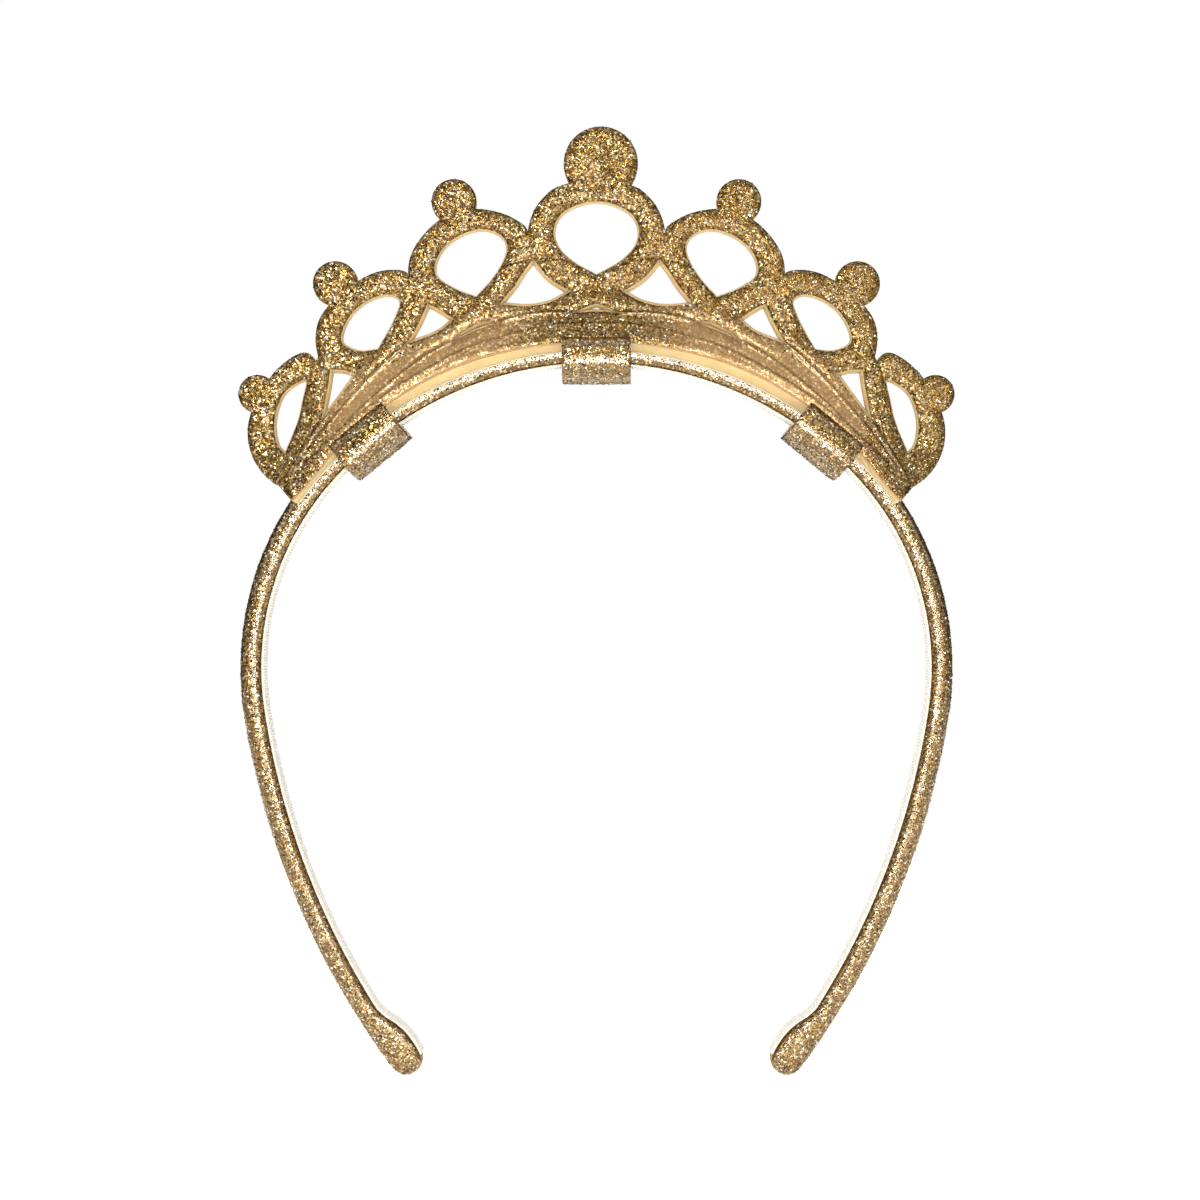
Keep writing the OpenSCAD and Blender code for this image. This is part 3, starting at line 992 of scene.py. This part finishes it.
    def solids(self) -> list[np.ndarray]:
        """Outlines that are joined into the crown, one closed ring each."""
        body = np.array(self.body, float)
        ball_turns = np.radians(np.arange(0, 360, 4))
        rings = [np.vstack([body, mirrored(body)[-2:0:-1]]), smooth_line(self.middle_edge, 8)]
        for edge in self.edges:
            line = smooth_line(edge, 8)
            rings += [line, mirrored(line)]
        for x, z, r in (self.middle_ball, *self.balls):
            circle = np.column_stack([x + r * np.sin(ball_turns), z + r * np.cos(ball_turns)])
            rings += [circle] if (x, z, r) == self.middle_ball else [circle, mirrored(circle)]
        return rings

    def cuts(self) -> list[np.ndarray]:
        """Outlines of the holes and gaps, one closed ring each."""
        rings = [smooth_line(self.middle_hole, 8)[:-1]]
        for hole in self.holes:
            line = smooth_line(hole, 8)[:-1]
            rings += [line, mirrored(line)]
        return rings + self.small_cuts()

    def small_cuts(self) -> list[np.ndarray]:
        """Outlines of the gaps between the hoops, one closed ring each."""
        rings = [self.joined(self.middle_gap)]
        for gap in self.gaps:
            rings += [self.joined(gap), mirrored(self.joined(gap))]
        return rings

    def joined(self, sides: tuple[tuple[Place, ...], ...]) -> np.ndarray:
        """One ring from curved sides that meet at corners."""
        return np.vstack([smooth_line(list(side), 8)[:-1] for side in sides])

    def crease_lines(self) -> list[np.ndarray]:
        """The pressed lines where hoops run together, on both sides."""
        lines = [smooth_line(list(crease), 12) for crease in self.creases]
        return lines + [mirrored(line) for line in lines]


@dataclass
class CrownShape:
    """The leaning plate that the crown's layers follow, and its outline."""

    outline: CrownOutline = CrownOutline()
    lower_r: float = 68.9
    lower_front: float = 8.3
    reach: float = 60.0
    rise_at: Place = (23, 8.5)
    drop_at: Place = (50, 6.0)
    drop_share: float = 1.9
    rim_space: float = 0.16
    row_step: float = 0.866
    leans: tuple[Place, ...] = (
        (60, 30), (73, 30), (75.2, 14), (77.6, 14), (79.8, 3), (115, 3),
    )

    def __post_init__(self) -> None:
        """Work out the side line once, in small steps of radius."""
        self.radii = np.arange(62, 116, 0.05)
        slope = np.tan(np.radians(self.lean(self.radii)))
        fall = np.cumsum(slope) * 0.05
        fall -= np.interp(self.lower_r, self.radii, fall)
        self.fronts = self.lower_front - fall

    def lean(self, radius: np.ndarray) -> np.ndarray:
        """Lean of the face from the vertical at a radius, in degrees."""
        r, angle = np.array(self.leans, float).T
        return np.interp(radius, r, angle)

    def place(self, flat: np.ndarray, depth: np.ndarray | float) -> np.ndarray:
        """Put points of the outline at a depth behind the face.

        Args:
            flat: Points seen from the front, one row each.
            depth: How far behind the face each point lies.

        Returns:
            Points in space, one row each.
        """
        r = np.hypot(*flat.T)
        lean = np.radians(self.lean(r))
        depth = np.broadcast_to(depth, r.shape)
        square = 1 - np.clip((r - 70.5) / 3.0, 0, 1)
        out = -depth * np.sin(lean) * square
        back = depth * (square * np.cos(lean) + (1 - square) / np.cos(lean))
        flat = flat * (1 + out / r)[:, None]
        forward = np.interp(r, self.radii, self.fronts) - back
        return np.column_stack([flat[:, 0], -forward, flat[:, 1]])

    def lower_edge(self, lift: float) -> np.ndarray:
        """The crown's lower edge as a line from left to right.

        Args:
            lift: How much the edge rises at rise_at. It drops at drop_at,
                drop_share times as much; each is an angle and a width.

        Returns:
            Points seen from the front.
        """
        turn = np.linspace(-self.reach, self.reach, 320)
        rise, drop = (
            np.exp(-(((np.abs(turn) - at) / width) ** 2)) for at, width in (self.rise_at, self.drop_at)
        )
        r = self.lower_r + lift * rise - self.drop_share * lift * drop
        return np.column_stack([r * np.sin(np.radians(turn)), r * np.cos(np.radians(turn))])

    def region(self, spacing: float, lift: float) -> "Region":
        """Fill the outline with triangles.

        Args:
            spacing: Distance between the points inside.
            lift: How much the lower edge rises; see lower_edge.

        Returns:
            The filled outline.
        """
        low = self.lower_edge(lift)
        solids, cuts = self.outline.solids(), self.outline.cuts()

        def holds(p: np.ndarray) -> np.ndarray:
            """Say which points lie on the crown."""
            turn = np.degrees(np.arctan2(p[:, 0], p[:, 1]))
            edge = np.interp(turn, np.degrees(np.arctan2(low[:, 0], low[:, 1])), np.hypot(*low.T))
            solid = np.any([within(p, ring) for ring in solids], axis=0)
            cut = np.any([within(p, ring) for ring in cuts], axis=0)
            return solid & ~cut & (np.hypot(*p.T) > edge)

        points: list[np.ndarray] = []
        links: list[tuple[int, int]] = []
        count = 0
        for ring in [*solids, *cuts, low]:
            size = len(ring)
            spans = size - 1 if ring is low else size
            links += [(count + i, count + (i + 1) % size) for i in range(spans)]
            points.append(ring)
            count += size
        rims = np.vstack(points)
        row = np.arange(-67, 67, spacing)
        rows = enumerate(np.arange(38, 110, spacing * self.row_step))
        grids = [
            np.column_stack([row + (i % 2) * spacing / 2, np.full(len(row), z)]) for i, z in rows
        ]
        if spacing < 1:
            for line in self.outline.crease_lines():
                run = np.gradient(line, axis=0)
                off = np.column_stack([run[:, 1], -run[:, 0]])
                off /= np.linalg.norm(run, axis=1)[:, None]
                grids += [line + off * k for k in (-0.45, -0.22, 0.0, 0.22, 0.45)]
        grid = np.vstack(grids)
        grid = grid[holds(grid)]
        grid = grid[nearest(grid, rims) > min(self.rim_space, spacing / 3)]
        flat = np.vstack([rims, grid])
        made = delaunay_2d_cdt([Vector(p) for p in flat], links, [], 0, 1e-5)
        corners = np.array([tuple(v) for v in made[0]])
        faces = np.array(made[2])
        faces = faces[holds(corners[faces].mean(axis=1))]
        used, renumbered = np.unique(faces, return_inverse=True)
        return Region(corners[used], renumbered.reshape(-1, 3))


class Region:
    """A filled outline: points, triangles, and the rim round them."""

    def __init__(self, points: np.ndarray, faces: np.ndarray) -> None:
        """Keep the triangles turned one way, and find the rim.

        Args:
            points: Points seen from the front, one row each.
            faces: Numbers of each triangle's corners.
        """
        a, b, c = (points[faces[:, k]] for k in range(3))
        turn = (b - a)[:, 0] * (c - a)[:, 1] - (b - a)[:, 1] * (c - a)[:, 0]
        faces = np.where((turn < 0)[:, None], faces[:, ::-1], faces)
        self.points, self.faces = points, faces
        runs = {(int(f[k]), int(f[(k + 1) % 3])) for f in faces for k in range(3)}
        self.rim = sorted(run for run in runs if (run[1], run[0]) not in runs)

    def rim_marks(self) -> np.ndarray:
        """Points close together along the rim."""
        a, b = (self.points[[run[k] for run in self.rim]] for k in (0, 1))
        return np.vstack([a + (b - a) * t for t in (0, 0.25, 0.5, 0.75)])

    def outward(self) -> dict[int, np.ndarray]:
        """Direction away from the region at each point of the rim."""
        found: dict[int, np.ndarray] = {}
        for i, k in self.rim:
            run = self.points[k] - self.points[i]
            out = np.array([run[1], -run[0]]) / max(np.linalg.norm(run), 1e-6)
            for j in (i, k):
                found[j] = found.get(j, np.zeros(2)) + out
        return {j: out / max(np.linalg.norm(out), 0.5) for j, out in found.items()}


@dataclass
class Crown:
    """The soft crown: glitter face, foam and backing, with three loops."""

    finishes: Finishes
    shape: CrownShape = field(default_factory=CrownShape)
    sheet: float = 0.8
    foam: float = 2.6
    cloth: float = 0.5
    press: float = 0.34
    rise: float = 0.46
    shoulder: float = 1.5
    crease: float = 0.30
    crease_width: float = 0.30
    # Radius below which the face's glitter carries the painted light.
    painted_light_below: float = PAINTED_LIGHT_BELOW
    outer_bulge: float = 0.2
    gap_bulge: float = 1.9
    loop_width: float = 12.5
    loop_turns: tuple[float, ...] = (-39.4, 0.0, 39.4)
    loop_line: tuple[Place, ...] = (
        (73.2, 3.6), (71.7, 4.6), (70.5, 5.7), (69.5, 7.1), (68.7, 8.3), (67.8, 8.8), (66.6, 9.05),
        (65.4, 9.2), (64.2, 9.1), (63.1, 8.2), (62.3, 6.5), (61.9, 3.8), (61.8, 0), (61.9, -3.2),
        (62.8, -5.2), (64.6, -6.2), (67, -6.2), (69.4, -5.2), (71.2, -3.4), (72, -1.2), (72.2, 1.3),
        (72.4, 2.1),
    )

    def layer(
        self,
        name: str,
        region: Region,
        rings: list[tuple[float, float]],
        front: np.ndarray | float,
        coats: list[bpy.types.Material],
        kinds: np.ndarray | None = None,
    ) -> bpy.types.Object:
        """Make one layer of the crown as a closed plate.

        Args:
            name: Name of the new object.
            region: The filled outline.
            rings: Depth and outward bulge of each ring of its wall; the first
                is the front's rim and the last is the back's. The wall bulges
                less round the crown than inside its holes.
            front: Depth of the front at each point.
            coats: Finish of the front, of the wall and of the back, then any
                more that kinds names.
            kinds: Number of the finish of each face of the front.

        Returns:
            The plate.
        """
        draft = Draft()
        place = self.shape.place
        out = region.outward()
        kinds = np.zeros(len(region.faces), int) if kinds is None else kinds
        front = draft.add(place(region.points, front), [])
        for kind in np.unique(kinds).tolist():
            draft.bridge((region.faces[kinds == kind] + front).tolist(), kind)
        last_depth = rings[-1][0]
        rim = sorted(out)
        cuts = np.vstack(self.shape.outline.cuts())
        gaps = np.vstack(self.shape.outline.small_cuts())
        inside = nearest(region.points[rim], cuts) < 0.3
        narrow = nearest(region.points[rim], gaps) < 0.3
        share = np.where(narrow, self.gap_bulge, np.where(inside, 1.0, self.outer_bulge))
        at_rim = np.array([out[j] for j in rim])
        back_points = region.points.copy()
        back_points[rim] += at_rim * rings[-1][1]
        at_rim *= share[:, None]
        back = draft.add(place(back_points, last_depth), region.faces[:, ::-1].tolist(), 2)
        below = {j: front + j for j in rim}
        for depth, bulge in rings[1:-1]:
            start = draft.add(place(region.points[rim] + at_rim * bulge, depth), [])
            above, below = below, {j: start + k for k, j in enumerate(rim)}
            draft.bridge([(above[k], above[i], below[i], below[k]) for i, k in region.rim], 1)
        draft.bridge([(below[k], below[i], back + i, back + k) for i, k in region.rim], 1)
        return draft.make(name, coats)

    def face(self) -> bpy.types.Object:
        """Make the pressed glitter face, soft along its hoops.

        Returns:
            The face, without its loops.
        """
        region = self.shape.region(0.42, 0.5)
        inward = nearest(region.points, region.rim_marks())
        share = 1 - np.clip(inward / self.shoulder, 0, 1)
        height = self.rise * (1 - share**2.2) - self.press
        lines = np.vstack(self.shape.outline.crease_lines())
        above = lines * (1 + 0.62 / np.hypot(*lines.T))[:, None]
        height += self.crease * np.exp(-((nearest(region.points, lines) / self.crease_width) ** 2))
        height -= self.crease * np.exp(-((nearest(region.points, above) / self.crease_width) ** 2))
        middles = region.points[region.faces].mean(axis=1)
        aside = np.abs(middles[:, 0])
        # Faces low on the crown where the glitter carries the painted light; they keep the crown
        # glitter.
        smooth = (np.hypot(*middles.T) < self.painted_light_below - 2) & (aside > 14) & (aside < 49)
        # Faces along the pressed lines take the lighter glitter: a painted highlight on the ridge.
        kinds = np.where(nearest(middles, lines) < 0.2, 3, np.where(smooth, 4, 0))
        for i, (x, z) in enumerate(region.points):
            height[i] += 0.07 * noise.noise(Vector((x, 0, z)) / 5.0)
        rings = [(self.press, 0.0), (self.press + 0.2, 0.03), (self.sheet, 0.0)]
        finishes = self.finishes
        coats = [finishes.sheet, finishes.cut, finishes.backing, finishes.ridge_highlight, finishes.sheet]
        obj = self.layer("crown_sheet", region, rings, -height, coats, kinds)
        return obj

    def padding(self) -> bpy.types.Object:
        """Make the foam, whose cut edge swells a little past the face."""
        front, back = self.sheet - 0.03, self.sheet + self.foam
        rings = [
            (front, 0.0), (front + 0.05, 0.08), (front + 0.6, 0.26), (front + 1.4, 0.34),
            (back - 0.6, 0.28), (back - 0.1, 0.1), (back, 0.0),
        ]
        coats = [self.finishes.foam] * 3
        region = self.shape.region(2.4, 0.0)
        obj = self.layer("crown_padding", region, rings, front, coats)
        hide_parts("crown_foam")
        return obj

    def back(self) -> bpy.types.Object:
        """Make the cloth on the back, whose edge is pressed thin."""
        front = self.sheet + self.foam - 0.02
        back = front + self.cloth
        rings = [(front, 0.0), (front + 0.2, 0.04), (back - 0.1, 0.0), (back, -0.08)]
        region = self.shape.region(1.4, 0.0)
        obj = self.layer("crown_back_cloth", region, rings, front, [self.finishes.backing] * 3)
        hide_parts("crown_backing")
        return obj

    def loop(self, number: int, turn: float) -> bpy.types.Object:
        """Make one loop round the band.

        Args:
            number: Which loop, from the left.
            turn: Its angle from the vertical.

        Returns:
            The loop, glitter outside and cloth inside.
        """
        line = smooth_line(list(self.loop_line), 6)
        run = np.gradient(line, axis=0)
        run /= np.linalg.norm(run, axis=1)[:, None]
        off = np.column_stack([-run[:, 1], run[:, 0]]) * self.sheet / 2
        across = np.linspace(-1, 1, 25)
        edge = np.array([0.72, 1.0])
        radial = np.array([math.sin(math.radians(turn)), 0, math.cos(math.radians(turn))])
        sideways = np.array([radial[2], 0, -radial[0]])

        def surface(sign: float) -> np.ndarray:
            """Points of the outer or the inner side, line by line."""
            rows = []
            for v in across:
                ends = np.interp(abs(v), edge, (1.0, 0.8 if sign < 0 else 1.0))
                flat = line + sign * off * ends
                sway = 0.10 * noise.noise(Vector((v * 2, turn, 0.3)))
                width = v * self.loop_width / 2 * (1 + 0.006 * np.sin(np.arange(len(line)) * 0.7))
                forward = np.array([0, -1, 0]) * (flat[:, 1:] + sway)
                rows.append(radial * flat[:, :1] + sideways * width[:, None] + forward)
            return np.array(rows)

        outer, inner = surface(-1), surface(1)
        steps, rows = len(line), len(across)
        draft = Draft()

        def sheet_faces(flip: bool) -> list[tuple[int, ...]]:
            """Faces of one side of the loop."""
            faces = [
                (i * steps + k, i * steps + k + 1, (i + 1) * steps + k + 1, (i + 1) * steps + k)
                for i in range(rows - 1)
                for k in range(steps - 1)
            ]
            return [f[::-1] for f in faces] if flip else faces

        a = draft.add(outer.reshape(-1, 3), sheet_faces(False), 0)
        b = draft.add(inner.reshape(-1, 3), sheet_faces(True), 1)
        last = (rows - 1) * steps
        for k in range(steps - 1):
            draft.bridge([(a + k + 1, a + k, b + k, b + k + 1)], 2)
            draft.bridge([(a + last + k, a + last + k + 1, b + last + k + 1, b + last + k)], 2)
        for i in range(rows - 1):
            near, far = i * steps, (i + 1) * steps
            draft.bridge([(a + near, a + far, b + far, b + near)], 2)
            near, far = near + steps - 1, far + steps - 1
            draft.bridge([(a + far, a + near, b + near, b + far)], 2)
        finishes = [self.finishes.band, self.finishes.backing, self.finishes.cut]
        obj = draft.make(f"crown_loop_{number}", finishes)
        return obj

    def build(self) -> list[bpy.types.Object]:
        """Make every layer and loop with their flakes.

        Returns:
            The new pieces.
        """
        face = self.face()
        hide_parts("crown_face")
        loops = [self.loop(i + 1, turn) for i, turn in enumerate(self.loop_turns)]
        made = [face, self.padding(), self.back(), *loops]
        for i, base in enumerate([face, *loops]):
            name = f"{base.name}_flakes"
            flakes = Sprinkle(seed=40 + i).scatter(name, base, self.finishes.flakes)
            made.append(flakes)
        for obj in made:
            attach(obj, "crown")
        return made


# --------------------------------------------------------------------------
# Studio
# --------------------------------------------------------------------------


@dataclass(frozen=True)
class Lamp:
    """A round lamp: where it hangs and its width, in metres, and its watts."""

    name: str
    place: tuple[float, float, float]
    size: float
    power: float

    def hang(self) -> None:
        """Hang the lamp so that it faces the crown."""
        data = bpy.data.lights.new(self.name, "AREA")
        data.shape = "DISK"
        data.size = self.size
        data.energy = self.power
        lamp = bpy.data.objects.new(self.name, data)
        bpy.context.scene.collection.objects.link(lamp)
        lamp.location = self.place
        towards = Vector((0, 0, 0.03)) - Vector(self.place)
        lamp.rotation_euler = towards.to_track_quat("-Z", "Y").to_euler()


@dataclass(frozen=True)
class Studio:
    """Pale floor, soft lights and the camera."""

    distance: float = 0.56
    height: float = 0.030
    aim: tuple[float, float, float] = (0.00065, 0.0, 0.0214)
    view_width: float = 0.222
    floor_gap: float = 0.2
    floor_reach: float = 420.0
    room_light: float = 0.12
    lamps: tuple[Lamp, ...] = (
        Lamp("front lamp", (0.01, -0.75, 0.085), 0.10, 4.2),
        Lamp("back lamp", (-0.1, 0.80, 0.30), 0.25, 4.0),
        Lamp("top lamp", (0.0, -0.5, 1.0), 1.0, 3.6),
        Lamp("left lamp", (-0.8, -0.45, 0.5), 0.7, 2.4),
        Lamp("right lamp", (0.8, -0.45, 0.5), 0.7, 2.4),
    )

    def camera(self) -> None:
        """Put the camera in front of the crown, a little above its middle."""
        data = bpy.data.cameras.new("camera")
        data.sensor_width = 36
        data.lens = 36 * self.distance / self.view_width
        camera = bpy.data.objects.new("camera", data)
        bpy.context.scene.collection.objects.link(camera)
        camera.location = (self.aim[0], -self.distance, self.height)
        towards = Vector(self.aim) - camera.location
        camera.rotation_euler = towards.to_track_quat("-Z", "Y").to_euler()
        bpy.context.scene.camera = camera

    def floor(self) -> None:
        """Lay a wide pale floor under the tips."""
        n = Nodes("Pale floor")
        cloud = n.add("TexNoise", {"Vector": n.place(), "Scale": 3.0, "Detail": 2.0}).outputs[0]
        n.feed(n.shader.inputs["Base Color"], n.mix(cloud, (0.93, 0.93, 0.93), (0.95, 0.95, 0.95)))
        n.shader.inputs["Roughness"].default_value = 0.9
        n.shader.inputs["Specular IOR Level"].default_value = 0.0
        n.shader.inputs["Emission Color"].default_value = (1, 1, 1, 1)
        n.shader.inputs["Emission Strength"].default_value = 0.80
        level = CAD_BOX[0].z / MM - self.floor_gap
        draft = Draft()
        corners = np.array([(x, y, level) for x, y in ((-1, -1), (1, -1), (1, 1), (-1, 1))])
        corners[:, :2] *= self.floor_reach
        draft.add(corners, [(0, 1, 2, 3)])
        draft.make("floor", [n.material])

    def sky(self) -> None:
        """Make the surroundings: a dim room, seen as plain white."""
        world = bpy.data.worlds.new("room")
        bpy.context.scene.world = world
        world.use_nodes = True
        tree = world.node_tree
        tree.nodes.clear()
        out = tree.nodes.new("ShaderNodeOutputWorld")
        room, white = (tree.nodes.new("ShaderNodeBackground") for _ in range(2))
        room.inputs[0].default_value = (0.80, 0.82, 0.85, 1)
        room.inputs[1].default_value = self.room_light
        white.inputs[0].default_value = (1, 1, 1, 1)
        white.inputs[1].default_value = 1.0
        mix = tree.nodes.new("ShaderNodeMixShader")
        path = tree.nodes.new("ShaderNodeLightPath")
        tree.links.new(path.outputs["Is Camera Ray"], mix.inputs[0])
        tree.links.new(room.outputs[0], mix.inputs[1])
        tree.links.new(white.outputs[0], mix.inputs[2])
        tree.links.new(mix.outputs[0], out.inputs[0])

    def build(self) -> None:
        """Set up the whole studio."""
        self.camera()
        self.floor()
        self.sky()
        for lamp in self.lamps:
            lamp.hang()
        bpy.context.scene.view_settings.view_transform = "Standard"


def main() -> None:
    """Build the studio, the band and the crown, and report each piece."""
    logging.basicConfig(level=logging.INFO, format="%(name)s: %(message)s")
    Studio().build()
    finishes = Finishes()
    for part in (Band(finishes), Crown(finishes)):
        for obj in part.build():
            log.info("%s: %d faces", obj.name, len(obj.data.polygons))


if __name__ == "__main__":
    main()
